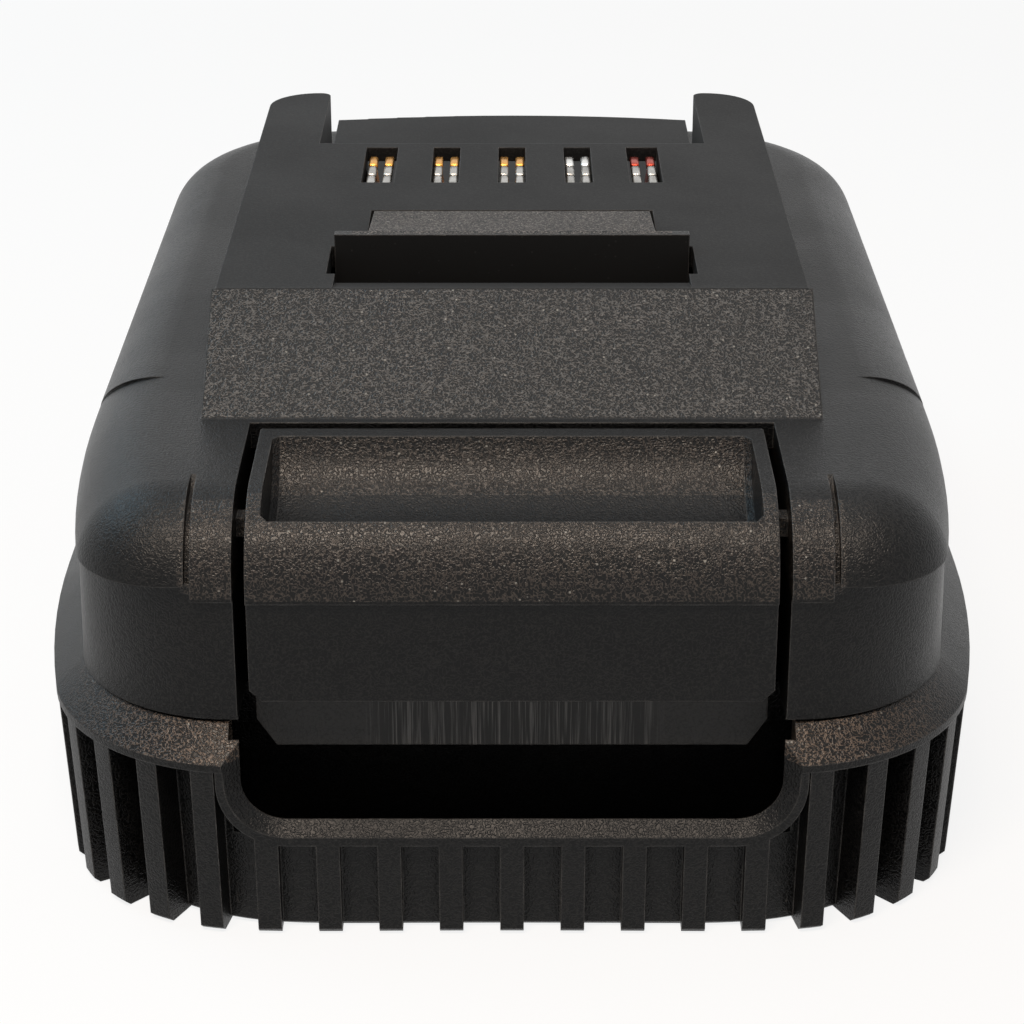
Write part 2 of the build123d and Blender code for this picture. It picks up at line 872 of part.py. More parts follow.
def latch_slider():
    front_y = tongue_front_y + tongue_thickness + opening_clearance
    slider = middle_block(plate_front_half_width, front_y, button_rear_y, plate_bottom_z, plate_top_z)
    slider += middle_block(plate_rear_half_width, button_rear_y, cam_rear_y, plate_bottom_z, plate_top_z)
    cam = side_polygon(
        (latch_face_y, plate_top_z),
        (latch_face_y, latch_top_z),
        (latch_face_y + latch_lip, latch_top_z),
        (cam_rear_y, deck_z),
        (cam_rear_y, plate_top_z),
    )
    slider += side_prism(cam, cam_half_width)
    slider += middle_block(
        latch_half_width,
        latch_face_y,
        latch_face_y + latch_lip,
        latch_top_z - latch_wing_depth,
        latch_top_z,
    )
    slider -= middle_block(
        cam_half_width - latch_wall,
        latch_face_y + latch_wall,
        cam_rear_y - latch_wall,
        plate_bottom_z - 1,
        deck_z - latch_wall - latch_travel / 2,
    )
    stakes = rod(stake_x, stake_y, stake_radius, plate_top_z, plate_top_z + stake_height)
    slider += both_sides(stakes)
    guide = rod(post_x, post_y, post_radius + post_clearance, plate_bottom_z - 1, plate_top_z + 1)
    return slider - both_sides(guide)


def latch_spring(side):
    # Each half turn is a tilted half circle, so the turns join without a kink.
    rise = (plate_bottom_z - channel_roof_z - 2 * spring_wire_radius) / (2 * spring_turns)
    low_z = channel_roof_z + spring_wire_radius
    turns = []
    for step in range(2 * spring_turns):
        direction = 1 if step % 2 == 0 else -1
        z = low_z + step * rise
        turns.append(ThreePointArc(
            (direction * spring_radius, 0, z),
            (0, direction * spring_radius, z + rise / 2),
            (-direction * spring_radius, 0, z + rise),
        ))
    path = Wire(turns)
    start = Plane(origin=path.position_at(0), z_dir=path.tangent_at(0))
    section = start * RegularPolygon(spring_wire_radius, spring_wire_flats)
    return Pos(side * post_x, post_y, 0) * sweep(section, path=path)


def spring_gap():
    pitch = (plate_bottom_z - channel_roof_z - 2 * spring_wire_radius) / spring_turns
    return pitch - 2 * spring_wire_radius


def circuit_board():
    outline = plan_outline(board_half_width, board_front_y, board_rear_y, board_corner, board_corner)
    board = upright(outline, board_bottom_z, board_top_z)
    for x, y in board_screw_places():
        board -= rod(x, y, board_screw_radius + opening_clearance, board_bottom_z - 1, board_top_z + 1)
    return board


def clip_profile():
    outer_throat = clip_throat + clip_sheet
    inner_top = clip_half_width - clip_sheet
    right = [
        (0, board_top_z),
        (clip_half_width, board_top_z),
        (outer_throat, clip_throat_z),
        (clip_half_width, clip_top_z),
        (inner_top, clip_top_z),
        (clip_throat, clip_throat_z),
        (inner_top, board_top_z + clip_sheet),
        (0, board_top_z + clip_sheet),
    ]
    return make_face(Polyline(*right, close=True))


def terminal_clip(place):
    face = Plane(origin=(0, clip_front_y, 0), x_dir=(1, 0, 0), z_dir=(0, -1, 0)) * clip_profile()
    clip = both_sides(extrude(face, amount=-clip_length))
    finger = (clip_length - finger_gap * (finger_count - 1)) / finger_count
    for step in range(1, finger_count):
        y = clip_front_y + step * finger + (step - 1) * finger_gap
        root_z = board_top_z + carrier_height
        clip -= middle_block(clip_half_width + 1, y, y + finger_gap, root_z, clip_top_z + 1)
    return Pos(place, 0, 0) * clip


def terminal_carrier():
    rear_y = clip_front_y + clip_length
    body = middle_block(
        carrier_half_width,
        clip_front_y - carrier_margin,
        rear_y + carrier_margin / 2,
        board_top_z,
        board_top_z + carrier_height,
    )
    for x in slot_places():
        half = clip_half_width + fit_clearance
        front_y = clip_front_y - fit_clearance
        body -= block(x - half, x + half, front_y, rear_y + 1, board_top_z - 1, shelf_z)
    return body


def mosfets():
    width, length, height = mosfet_size
    body = block(
        mosfet_x - width / 2,
        mosfet_x + width / 2,
        mosfet_y - length / 2,
        mosfet_y + length / 2,
        board_bottom_z - height,
        board_bottom_z,
    )
    body = chamfer(body.edges().group_by(Axis.Z)[0], 0.4)
    return both_sides(body)


def control_chip():
    width, length, height = chip_size
    front_y = chip_y - length / 2
    body = middle_block(width / 2, front_y, front_y + length, board_bottom_z - height, board_bottom_z)
    return chamfer(body.edges().group_by(Axis.Z)[0], 0.3)


def capacitor():
    foot_z = board_bottom_z - capacitor_length
    can = rod(capacitor_x, capacitor_y, capacitor_radius, foot_z, board_bottom_z)
    return fillet(can.edges().group_by(Axis.Z)[0], 0.5)


def resistors():
    width, length, height = resistor_size
    low_z = board_bottom_z - height
    group = Part()
    for step in range(resistor_count):
        y = resistor_y + step * resistor_pitch
        group += block(resistor_x, resistor_x + width, y, y + length, low_z, board_bottom_z)
    return group


def board_screws():
    group = Part()
    for x, y in board_screw_places():
        group += rod(x, y, board_screw_radius, board_bottom_z, board_bottom_z + board_screw_length)
        head_z = board_bottom_z - board_screw_head_height
        group += rod(x, y, board_screw_head_radius, head_z, board_bottom_z)
    return group


def source_block():
    body = middle_block(
        source_half_width,
        receiver_front_y + source_seat,
        receiver_front_y + source_length,
        source_bottom_z,
        receiver_roof_z - source_seat,
    )
    body = chamfer(body.edges().group_by(Axis.Y)[-1], 0.6)
    for x in blade_places():
        half = blade_thickness / 2 + fit_clearance
        front_y = receiver_front_y + blade_inset - fit_clearance
        body -= block(
            x - half,
            x + half,
            front_y,
            receiver_front_y + source_length + 1,
            blade_bottom_z - fit_clearance,
            blade_bottom_z + blade_height + fit_clearance,
        )
        body -= block(x - half, x + half, front_y, front_y + tail_length + 2 * fit_clearance,
                      blade_bottom_z, receiver_roof_z)
    return body


def source_blade(place):
    front_y = receiver_front_y + blade_inset
    blade = block(-blade_thickness / 2, blade_thickness / 2, front_y, front_y + blade_length,
                  blade_bottom_z, blade_bottom_z + blade_height)
    tip = blade.edges().filter_by(Axis.Z).group_by(Axis.Y)[-1]
    blade = chamfer(tip, 0.3)
    blade += block(-blade_thickness / 2, blade_thickness / 2, front_y, front_y + tail_length,
                   blade_bottom_z, tail_top_z)
    return Pos(place, 0, 0) * blade


def lead_route(side):
    start_y = receiver_front_y + blade_inset + tail_length
    blade_x = blade_places()[-1]
    pad_x = slot_places()[-1]
    pad_y = clip_front_y + 0.4
    points = [
        (blade_x, start_y, lead_z),
        (blade_x, start_y + 5.0, lead_z),
        (lead_side_x, start_y + 13.0, lead_z),
        (lead_side_x, start_y + 27.0, lead_z),
        (pad_x + 2.0, pad_y - 5.5, lead_z + 2.5),
        (pad_x, pad_y, lead_z + 9.0),
        (pad_x, pad_y, board_bottom_z),
    ]
    return [Vector(side * x, y, z) for x, y, z in points]


def bend_radii(points):
    radii = []
    for before, here, after in zip(points, points[1:], points[2:]):
        first = here - before
        second = after - here
        turn = math.radians(first.get_angle(second))
        radii.append(0.45 * min(first.length, second.length) / math.tan(turn / 2))
    return radii


def lead(side):
    points = lead_route(side)
    radii = bend_radii(points)
    path = FilletPolyline(*points, radius=radii)
    start = Plane(origin=path.position_at(0), z_dir=path.tangent_at(0))
    section = start * RegularPolygon(lead_radius, lead_flats)
    print("lead", side, "radii", [round(radius, 1) for radius in radii], "length", round(path.length, 1))
    return sweep(section, path=path)


def housing_screws():
    group = Part()
    for side in (-1, 1):
        for end in (-1, 1):
            x = side * boss_x
            y = end * boss_y
            head = rod(x, y, screw_head_radius, screw_recess_depth - screw_head_height, screw_recess_depth)
            drive = rod(x, y, 1.2, screw_recess_depth - screw_head_height - 1, screw_recess_depth - 1.2)
            group += head - drive
            group += rod(x, y, screw_radius, screw_recess_depth, boss_join_z + screw_reach)
    return group


def build_all():
    pieces = {
        "base_shell": base_shell(),
        "upper_shell": upper_shell(),
        "release_button": release_button(),
        "latch_slider": latch_slider(),
        "latch_spring_left": latch_spring(-1),
        "latch_spring_right": latch_spring(1),
        "circuit_board": circuit_board(),
        "terminal_carrier": terminal_carrier(),
        "mosfets": mosfets(),
        "control_chip": control_chip(),
        "capacitor": capacitor(),
        "resistors": resistors(),
        "board_screws": board_screws(),
        "source_block": source_block(),
        "lead_negative": lead(-1),
        "lead_positive": lead(1),
        "housing_screws": housing_screws(),
    }
    for number, place in enumerate(slot_places(), start=1):
        pieces[f"terminal_clip_{number}"] = terminal_clip(place)
    for number, place in enumerate(blade_places(), start=1):
        pieces[f"source_blade_{number}"] = source_blade(place)
    return pieces


os.makedirs("parts", exist_ok=True)
for name, shape in build_all().items():
    export_step(shape, f"parts/{name}.step")
print("least gap between spring turns", round(spring_gap(), 2))
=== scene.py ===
import math

import bpy
import bmesh
from mathutils import Matrix, Vector


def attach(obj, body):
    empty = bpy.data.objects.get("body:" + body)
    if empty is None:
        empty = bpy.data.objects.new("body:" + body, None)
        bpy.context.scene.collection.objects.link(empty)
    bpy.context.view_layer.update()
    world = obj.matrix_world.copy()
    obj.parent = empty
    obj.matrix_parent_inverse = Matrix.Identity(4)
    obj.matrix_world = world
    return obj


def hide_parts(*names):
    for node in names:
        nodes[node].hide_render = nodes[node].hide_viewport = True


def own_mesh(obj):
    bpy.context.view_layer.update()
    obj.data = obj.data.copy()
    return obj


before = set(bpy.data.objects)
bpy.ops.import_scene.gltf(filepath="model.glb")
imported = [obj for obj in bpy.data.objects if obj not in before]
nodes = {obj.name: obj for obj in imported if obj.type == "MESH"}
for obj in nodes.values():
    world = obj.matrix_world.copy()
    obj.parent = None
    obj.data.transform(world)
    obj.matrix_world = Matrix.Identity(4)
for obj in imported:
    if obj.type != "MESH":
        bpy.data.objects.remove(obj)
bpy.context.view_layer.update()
print("frame loaded:", len(nodes), "nodes")

# The studio's values are in metres, and those of zones and pieces in millimetres. Noise scales are per metre
mm = 0.001

# Studio: a low view from the release button, through a long lens
cameraSettings = {
    "lens": 93.2,
    "sensorWidth": 36.0,
    "clipStart": 0.01,
    "place": (0.0, -0.2503, 0.1265),
    "tiltDown": 24.5,
}
studioSettings = {
    "backdropWhite": 1.0,
    "roomGrey": (0.16, 0.17, 0.18),
    "floorWhite": 0.8,
    "floorGlow": 0.85,
    "floorSize": 3.0,
    "floorDrop": 0.0001,
    "shadowReach": (0.25, 0.7),
}
softboxes = [
    {
        "name": "warmFront",
        "place": (-0.08, -0.34, 0.58),
        "aim": (0, -0.02, 0.04),
        "size": (0.32, 0.15),
        "power": 4.0,
        "colour": (1.0, 0.83, 0.68),
    },
    {
        "name": "overhead",
        "place": (0.0, 0.06, 0.7),
        "aim": (0, 0, 0.04),
        "size": (0.5, 0.3),
        "power": 0.8,
        "colour": (1.0, 1.0, 1.0),
    },
    {
        "name": "coolLeft",
        "place": (-0.42, 0.22, 0.42),
        "aim": (0, 0, 0.04),
        "size": (0.4, 0.25),
        "power": 1.3,
        "colour": (0.5, 0.8, 1.0),
    },
]


def newObject(name, data):
    item = bpy.data.objects.new(name, data)
    bpy.context.scene.collection.objects.link(item)
    return item


def addCamera(settings):
    data = bpy.data.cameras.new("studioCamera")
    data.lens = settings["lens"]
    data.sensor_width = settings["sensorWidth"]
    data.clip_start = settings["clipStart"]
    camera = newObject("studioCamera", data)
    camera.location = settings["place"]
    camera.rotation_euler = (math.radians(90 - settings["tiltDown"]), 0, 0)
    bpy.context.scene.camera = camera


def addSoftbox(settings):
    data = bpy.data.lights.new(settings["name"], "AREA")
    data.shape = "RECTANGLE"
    data.size, data.size_y = settings["size"]
    data.energy = settings["power"]
    data.color = settings["colour"]
    lamp = newObject(settings["name"], data)
    lamp.location = settings["place"]
    direction = Vector(settings["aim"]) - Vector(settings["place"])
    lamp.rotation_euler = direction.to_track_quat("-Z", "Y").to_euler()


# Small helpers for node trees

def feed(tree, socket, value):
    # A socket is linked, and anything else is set
    if isinstance(value, bpy.types.NodeSocket):
        tree.links.new(value, socket)
    elif socket.type == "RGBA":
        socket.default_value = (*value, 1)
    else:
        socket.default_value = value


def mathNode(tree, operation, *values, clamp=False):
    node = tree.nodes.new("ShaderNodeMath")
    node.operation = operation
    node.use_clamp = clamp
    for socket, value in zip(node.inputs, values):
        feed(tree, socket, value)
    return node.outputs[0]


def vectorNode(tree, operation, *values):
    node = tree.nodes.new("ShaderNodeVectorMath")
    node.operation = operation
    for socket, value in zip(node.inputs, values):
        feed(tree, socket, value)
    return node.outputs


def mixNode(tree, kind, values):
    node = tree.nodes.new("ShaderNodeMix")
    node.data_type = kind
    sockets = [socket for socket in node.inputs if socket.enabled]
    for socket, value in zip(sockets, values):
        feed(tree, socket, value)
    return next(socket for socket in node.outputs if socket.enabled)


def mixColour(tree, factor, first, second):
    return mixNode(tree, "RGBA", (factor, first, second))


def mixValue(tree, factor, first, second):
    return mixNode(tree, "FLOAT", (factor, first, second))


def mixShader(tree, factor, first, second):
    node = tree.nodes.new("ShaderNodeMixShader")
    for socket, value in zip(node.inputs, (factor, first, second)):
        feed(tree, socket, value)
    return node.outputs[0]


def mapRange(tree, value, low, high, toLow=0.0, toHigh=1.0):
    node = tree.nodes.new("ShaderNodeMapRange")
    titles = ("Value", "From Min", "From Max", "To Min", "To Max")
    for title, given in zip(titles, (value, low, high, toLow, toHigh)):
        feed(tree, node.inputs[title], given)
    return node.outputs["Result"]


def objectPoint(tree):
    return tree.nodes.new("ShaderNodeTexCoord").outputs["Object"]


def noiseNode(tree, vector, scale, detail=2.0, roughness=0.5):
    node = tree.nodes.new("ShaderNodeTexNoise")
    feed(tree, node.inputs["Vector"], vector)
    feed(tree, node.inputs["Scale"], scale)
    node.inputs["Detail"].default_value = detail
    node.inputs["Roughness"].default_value = roughness
    return node.outputs["Fac"]


def voronoiNode(tree, vector, scale, feature="F1"):
    node = tree.nodes.new("ShaderNodeTexVoronoi")
    node.feature = feature
    feed(tree, node.inputs["Vector"], vector)
    feed(tree, node.inputs["Scale"], scale)
    return node.outputs


def pickedSpots(tree, cells, share, fade):
    # A round spot in some of the cells: share picks the cells, and fade is where the spot ends
    colour = tree.nodes.new("ShaderNodeSeparateColor")
    tree.links.new(cells["Color"], colour.inputs["Color"])
    picked = mathNode(tree, "LESS_THAN", colour.outputs["Red"], share)
    return mathNode(tree, "MULTIPLY", picked, mapRange(tree, cells["Distance"], *fade))


def seenByEye(tree):
    # Camera, glossy and transmission rays see the white backdrop
    light = tree.nodes.new("ShaderNodeLightPath")
    seen = mathNode(tree, "ADD", light.outputs["Is Camera Ray"], light.outputs["Is Glossy Ray"], clamp=True)
    return mathNode(tree, "ADD", seen, light.outputs["Is Transmission Ray"], clamp=True)


def addRoom(settings):
    world = bpy.data.worlds.new("studioRoom")
    world.use_nodes = True
    tree = world.node_tree
    white = settings["backdropWhite"]
    colour = mixColour(tree, seenByEye(tree), settings["roomGrey"], (white, white, white))
    tree.links.new(colour, tree.nodes["Background"].inputs["Color"])
    bpy.context.scene.world = world


def floorMaterial(settings):
    # Takes the object's shadow, and far from the object it is as white as the backdrop
    material = bpy.data.materials.new("paleFloor")
    material.use_nodes = True
    tree = material.node_tree
    tree.nodes.clear()
    diffuse = tree.nodes.new("ShaderNodeBsdfDiffuse")
    pale = settings["floorWhite"]
    diffuse.inputs["Color"].default_value = (pale, pale, pale, 1)
    glow = tree.nodes.new("ShaderNodeEmission")
    distance = vectorNode(tree, "LENGTH", objectPoint(tree))["Value"]
    share = mapRange(tree, distance, *settings["shadowReach"], settings["floorGlow"], 1.0)
    glowing = mathNode(tree, "MULTIPLY", seenByEye(tree), share)
    upper = mixShader(tree, glowing, diffuse.outputs[0], glow.outputs[0])
    # From below, the floor is clear, so that the underside can be looked at
    below = tree.nodes.new("ShaderNodeNewGeometry").outputs["Backfacing"]
    clear = tree.nodes.new("ShaderNodeBsdfTransparent")
    output = tree.nodes.new("ShaderNodeOutputMaterial")
    tree.links.new(mixShader(tree, below, upper, clear.outputs[0]), output.inputs["Surface"])
    return material


def addFloor(settings):
    mesh = bpy.data.meshes.new("paleFloor")
    shape = bmesh.new()
    lowered = Matrix.Translation((0, 0, -settings["floorDrop"]))
    bmesh.ops.create_grid(shape, x_segments=1, y_segments=1, size=settings["floorSize"], matrix=lowered)
    shape.to_mesh(mesh)
    shape.free()
    mesh.materials.append(floorMaterial(settings))
    floor = newObject("paleFloor", mesh)


addCamera(cameraSettings)
addRoom(studioSettings)
addFloor(studioSettings)
for softbox in softboxes:
    addSoftbox(softbox)
print("studio ready")


# Shader node groups: each is built once and placed in the materials with its own values

floatKind = "NodeSocketFloat"
vectorKind = "NodeSocketVector"


def newGroup(name, inputs, outputs):
    group = bpy.data.node_groups.new(name, "ShaderNodeTree")
    for direction, sockets in (("INPUT", inputs), ("OUTPUT", outputs)):
        for title, kind in sockets.items():
            group.interface.new_socket(title, in_out=direction, socket_type=kind)
    entry = group.nodes.new("NodeGroupInput")
    leave = group.nodes.new("NodeGroupOutput")
    return group, entry.outputs, leave.inputs


grainForm = {
    "detail": 1.0,
    "noiseMiddle": 0.5,
    "ridgeWidth": 0.14,
    "ridgeFade": (0.5, 0.85),
    "glintFade": (0.42, 0.2),
    "glossScale": 70.0,
}


def sparkGrainGroup(form):
    # Spark-eroded mould grain: winding ridges among pebbles, a few spots of painted glint, and a slow change
    # of gloss
    group, entry, leave = newGroup(
        "sparkGrain",
        {"Grain Scale": floatKind, "Pebble Share": floatKind, "Glint Share": floatKind},
        {"Height": floatKind, "Ridge": floatKind, "Glint Spot": floatKind, "Gloss": floatKind},
    )
    point = objectPoint(group)
    fine = noiseNode(group, point, entry["Grain Scale"], form["detail"])
    away = mathNode(group, "SUBTRACT", fine, form["noiseMiddle"])
    away = mathNode(group, "ABSOLUTE", away)
    winding = mapRange(group, away, form["ridgeWidth"], 0.0)
    cells = voronoiNode(group, point, entry["Grain Scale"])
    pebbles = mathNode(group, "SUBTRACT", 1.0, cells["Distance"])
    height = mixValue(group, entry["Pebble Share"], winding, pebbles)
    group.links.new(height, leave["Height"])
    group.links.new(mapRange(group, height, *form["ridgeFade"]), leave["Ridge"])
    group.links.new(pickedSpots(group, cells, entry["Glint Share"], form["glintFade"]), leave["Glint Spot"])
    group.links.new(noiseNode(group, point, form["glossScale"]), leave["Gloss"])
    return group


edgeForm = {
    "samples": 4,
    "radius": 0.2,
    "turn": (0.985, 0.8),
    "patchScale": 700.0,
    "patchHigh": 0.75,
    "leastEdgeMark": 0.25,
}


def edgeShineAndWearGroup(form):
    # Rounded edges: the bevelled normal, and a mask where it leaves the flat one, in patches. On the plastic
    # the mask paints a highlight along the edges, and on the metal it marks worn edges
    group, entry, leave = newGroup(
        "edgeShineAndWear",
        {"Break Up": floatKind},
        {"Normal": vectorKind, "Edge": floatKind},
    )
    bevel = group.nodes.new("ShaderNodeBevel")
    bevel.samples = form["samples"]
    bevel.inputs["Radius"].default_value = form["radius"] * mm
    geometry = group.nodes.new("ShaderNodeNewGeometry")
    facing = vectorNode(group, "DOT_PRODUCT", bevel.outputs["Normal"], geometry.outputs["Normal"])
    edge = mapRange(group, facing["Value"], *form["turn"])
    patchy = noiseNode(group, objectPoint(group), form["patchScale"])
    edgeMarks = mapRange(group, patchy, entry["Break Up"], form["patchHigh"], form["leastEdgeMark"], 1.0)
    group.links.new(bevel.outputs["Normal"], leave["Normal"])
    group.links.new(mathNode(group, "MULTIPLY", edge, edgeMarks), leave["Edge"])
    return group


dustForm = {
    "cellScale": 420.0,
    "speckFade": (0.06, 0.03),
}


def dustGroup(form):
    # Sparse pale specks
    group, entry, leave = newGroup("settledDust", {"Amount": floatKind}, {"Speck": floatKind})
    cells = voronoiNode(group, objectPoint(group), form["cellScale"])
    group.links.new(pickedSpots(group, cells, entry["Amount"], form["speckFade"]), leave["Speck"])
    return group


def boxZoneGroup():
    # 0 outside a box and on its sides, rising to 1 over the soft distance inwards
    group, entry, leave = newGroup(
        "boxZone",
        {"Centre": vectorKind, "Half": vectorKind, "Soft": vectorKind},
        {"Inside": floatKind},
    )
    away = vectorNode(group, "SUBTRACT", objectPoint(group), entry["Centre"])["Vector"]
    away = vectorNode(group, "ABSOLUTE", away)["Vector"]
    depth = vectorNode(group, "SUBTRACT", entry["Half"], away)["Vector"]
    depth = vectorNode(group, "DIVIDE", depth, entry["Soft"])["Vector"]
    parts = group.nodes.new("ShaderNodeSeparateXYZ")
    group.links.new(depth, parts.inputs[0])
    least = mathNode(group, "MINIMUM", parts.outputs["X"], parts.outputs["Y"])
    least = mathNode(group, "MINIMUM", least, parts.outputs["Z"], clamp=True)
    group.links.new(least, leave["Inside"])
    return group


lineForm = {
    "detail": 3.0,
    "roughness": 0.7,
    "fade": 0.16,
}


def fineLinesGroup(form):
    # Fine parallel lines, long along the axis that has the smallest stretch value
    group, entry, leave = newGroup(
        "fineLines",
        {"Stretch": vectorKind, "Cover": floatKind},
        {"Line": floatKind},
    )
    stretched = vectorNode(group, "MULTIPLY", objectPoint(group), entry["Stretch"])["Vector"]
    lines = noiseNode(group, stretched, 1.0, form["detail"], form["roughness"])
    edge = mathNode(group, "ADD", entry["Cover"], form["fade"])
    group.links.new(mapRange(group, lines, entry["Cover"], edge), leave["Line"])
    return group


sparkGrain = sparkGrainGroup(grainForm)
edgeShineAndWear = edgeShineAndWearGroup(edgeForm)
settledDust = dustGroup(dustForm)
boxZone = boxZoneGroup()
fineLines = fineLinesGroup(lineForm)


def placeGroup(tree, group, values):
    node = tree.nodes.new("ShaderNodeGroup")
    node.node_tree = group
    for title, value in values.items():
        node.inputs[title].default_value = value
    return node.outputs


def placeLines(tree, settings):
    values = {"Stretch": settings["stretch"], "Cover": settings["cover"]}
    return placeGroup(tree, fineLines, values)["Line"]


crispSides = (0.02, 0.02, 0.02)


def placeZone(tree, zone):
    # low and high are the box's corners, and soft is the fading at each pair of sides
    centre = [(a + b) / 2 * mm for a, b in zip(zone["low"], zone["high"])]
    half = [(b - a) / 2 * mm for a, b in zip(zone["low"], zone["high"])]
    soft = [side * mm for side in zone.get("soft", crispSides)]
    return placeGroup(tree, boxZone, {"Centre": centre, "Half": half, "Soft": soft})["Inside"]


def newMaterial(name):
    material = bpy.data.materials.new(name)
    material.use_nodes = True
    return material, material.node_tree, material.node_tree.nodes["Principled BSDF"]


def bumpNode(tree, shader, height, depth, normal=None):
    bump = tree.nodes.new("ShaderNodeBump")
    bump.inputs["Distance"].default_value = depth * mm
    tree.links.new(height, bump.inputs["Height"])
    if normal is not None:
        tree.links.new(normal, bump.inputs["Normal"])
    tree.links.new(bump.outputs["Normal"], shader.inputs["Normal"])


# A slow or fine change goes from its lowest to its highest value as a noise passes through this range
noiseRange = (0.35, 0.65)


def mouldedPlastic(name, settings):
    # Black moulded plastic with painted highlight on the grain's ridges and along its edges, and zones that
    # take another grain, gloss or scratches, and painted highlight or painted shade
    material, tree, shader = newMaterial(name)
    shader.inputs["Specular IOR Level"].default_value = settings["gloss"]
    grainValues = {
        "Grain Scale": settings["grainScale"],
        "Pebble Share": settings["pebbles"],
        "Glint Share": settings["glintShare"],
    }
    grain = placeGroup(tree, sparkGrain, grainValues)
    edgeMarks = placeGroup(tree, edgeShineAndWear, {"Break Up": settings["edgeBreak"]})
    dust = placeGroup(tree, settledDust, {"Amount": settings["dust"]})
    # Ridges painted lighter: a painted highlight on the grain
    colour = mixColour(tree, grain["Ridge"], settings["colour"], settings["ridgeHighlightColour"])
    roughness = settings["roughness"]
    lift = settings["lift"]
    for zone in settings["zones"]:
        look = {**settings, **zone}
        inside = placeZone(tree, look)
        # A zone's painted highlight on the ridges, then its spots of painted glint
        local = mixColour(tree, grain["Ridge"], look["colour"], look["ridgeHighlightColour"])
        local = mixColour(tree, grain["Glint Spot"], local, look["glintColour"])
        if "lineColour" in look:
            local = mixColour(tree, placeLines(tree, look), local, look["lineColour"])
        colour = mixColour(tree, inside, colour, local)
        roughness = mixValue(tree, inside, roughness, look["roughness"])
        lift = mixValue(tree, inside, lift, look["lift"])
    # Edges painted lighter in patches: a painted highlight along the rounded edges
    colour = mixColour(tree, edgeMarks["Edge"], colour, settings["edgeColour"])
    colour = mixColour(tree, dust["Speck"], colour, settings["dustColour"])
    tree.links.new(colour, shader.inputs["Base Color"])
    change = settings["glossChange"]
    drift = mapRange(tree, grain["Gloss"], *noiseRange, -change, change)
    tree.links.new(mathNode(tree, "ADD", roughness, drift), shader.inputs["Roughness"])
    height = mathNode(tree, "MULTIPLY", grain["Height"], lift)
    bumpNode(tree, shader, height, settings["grainDepth"], edgeMarks["Normal"])
    return material


# Painted light in the base look: the ridge colour is a painted highlight on the grain's ridges, the grain's
# spot colour a painted glint, and the edge colour a painted highlight along the edges
blackPlastic = {
    "colour": (0.0008, 0.0008, 0.0009),
    "ridgeHighlightColour": (0.01, 0.01, 0.01),
    "glintColour": (0.01, 0.01, 0.01),
    "edgeColour": (0.11, 0.11, 0.11),
    "dustColour": (0.14, 0.14, 0.13),
    "gloss": 0.2,
    "roughness": 0.38,
    "glossChange": 0.03,
    "grainScale": 3200.0,
    "pebbles": 0.3,
    "glintShare": 0.02,
    "grainDepth": 0.035,
    "lift": 1.0,
    "edgeBreak": 0.35,
    "dust": 0.012,
    "zones": [],
}
# Painted highlight where a lamp catches the grain: a lighter colour, lighter ridges and pale glint spots,
# with a glossier surface and deeper grain
coarseGrainHighlightLook = {
    "colour": (0.005, 0.005, 0.005),
    "ridgeHighlightColour": (0.052, 0.045, 0.04),
    "glintColour": (0.2, 0.2, 0.19),
    "roughness": 0.29,
    "lift": 1.3,
}
matteLook = {"roughness": 0.62, "lift": 0.15}
# Painted shade for a face in shadow: a darker colour, and a matte surface with little grain
paintedShadeLook = {
    "colour": (0.0004, 0.0004, 0.0004),
    "ridgeHighlightColour": (0.001, 0.001, 0.001),
    "roughness": 0.7,
    "lift": 0.1,
}

# Zones of the upper shell: the deck with its rails and the shelves beside it, made matte, and the ramp and
# the cheeks with painted highlight
upperShellFinish = {
    **blackPlastic,
    "zones": [
        {
            **matteLook,
            "low": (-43.0, -31.0, 38.0),
            "high": (43.0, 75.0, 48.0),
            "soft": (0.5, 8.0, 0.5),
        },
        {
            **coarseGrainHighlightLook,
            "low": (-27.0, -36.7, 38.2),
            "high": (27.0, -24.7, 45.9),
            "ridgeHighlightColour": (0.095, 0.095, 0.095),
        },
        {
            **coarseGrainHighlightLook,
            "low": (-27.2, -70.0, 30.9),
            "high": (27.2, -48.0, 37.6),
            "soft": (0.3, 3.0, 0.02),
        },
    ],
}

# Zone of the base shell: the front of the flange, with a warm painted highlight
baseShellFinish = {
    **blackPlastic,
    "zones": [
        {
            **coarseGrainHighlightLook,
            "low": (-39.0, -75.0, 16.75),
            "high": (39.0, -40.0, 19.6),
            "soft": (12.0, 10.0, 0.02),
            "ridgeHighlightColour": (0.13, 0.1, 0.08),
        },
    ],
}

# Zones of the button: the band and the recess with painted highlight, the tongue, and the scratches in the
# tongue's middle
buttonFinish = {
    **blackPlastic,
    "zones": [
        {
            **coarseGrainHighlightLook,
            "low": (-21.7, -58.0, 30.7),
            "high": (21.7, -52.0, 38.0),
        },
        {
            **coarseGrainHighlightLook,
            "low": (-21.0, -46.5, 34.0),
            "high": (21.0, -38.0, 38.0),
            "soft": (0.3, 2.0, 0.02),
        },
        {
            "low": (-22.0, -57.0, 14.0),
            "high": (22.0, -50.0, 21.3),
            "colour": (0.022, 0.022, 0.022),
            "roughness": 0.42,
            "lift": 0.4,
        },
        {
            "low": (-12.6, -56.0, 15.0),
            "high": (13.0, -52.0, 21.2),
            "soft": (2.0, 0.02, 0.02),
            "stretch": (5200, 1, 90),
            "cover": 0.5,
            "colour": (0.01, 0.01, 0.01),
            "lineColour": (0.09, 0.09, 0.09),
            "roughness": 0.4,
            "lift": 0.3,
        },
    ],
}

